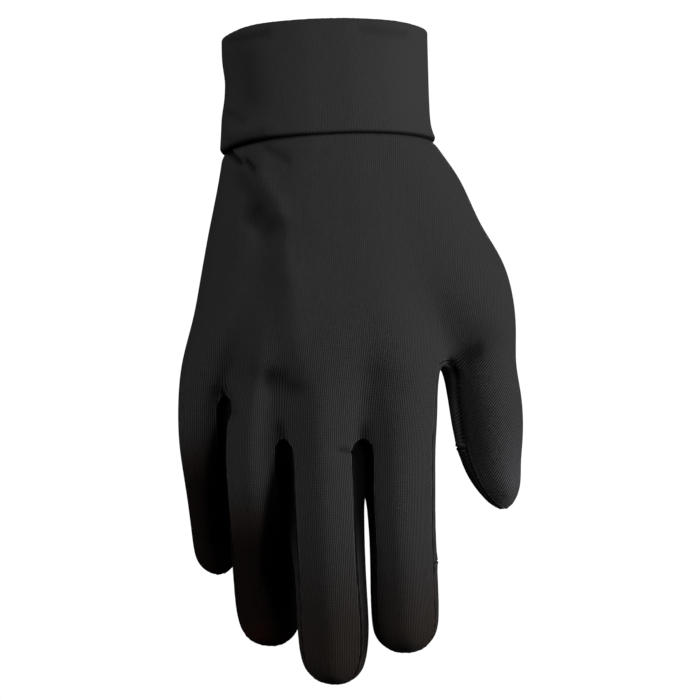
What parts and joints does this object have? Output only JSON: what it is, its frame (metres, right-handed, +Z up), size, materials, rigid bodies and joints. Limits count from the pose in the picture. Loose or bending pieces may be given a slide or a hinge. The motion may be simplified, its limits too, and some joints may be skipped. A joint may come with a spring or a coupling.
{
  "type": "stretch jersey glove",
  "caption": "Thin close-fitting right-hand glove in stretch jersey, in its worn form, open at the wrist, with a doubled cuff band and side strips between the fingers.",
  "frame": {"origin": "centre of the wrist opening, at the rim of the cuff", "axes": "+Z up from the fingertips towards the wrist, +X towards the thumb, -Y out of the back of the hand and +Y out of the palm. The wrist leans 12 degrees towards +Y and 3 degrees towards -X going up."},
  "size_m": [0.1139, 0.0597, 0.22],
  "materials": {
    "hand_jersey": "matt black single jersey knit with fine lengthwise ribs and a faint sheen",
    "cuff_jersey": "matt black jersey knit, doubled, slightly lighter than the hand",
    "strip_jersey": "matt black jersey knit, cut across its ribs",
    "sewing_thread": "black spun polyester thread"
  },
  "bodies": {
    "root": {"cuff_band": "cuff_jersey", "back_panel": "hand_jersey", "palm_panel": "hand_jersey", "fourchette_little_ring": "strip_jersey", "fourchette_ring_middle": "strip_jersey", "fourchette_middle_index": "strip_jersey", "gusset_index_thumb": "strip_jersey"}
  },
  "joints": []
}
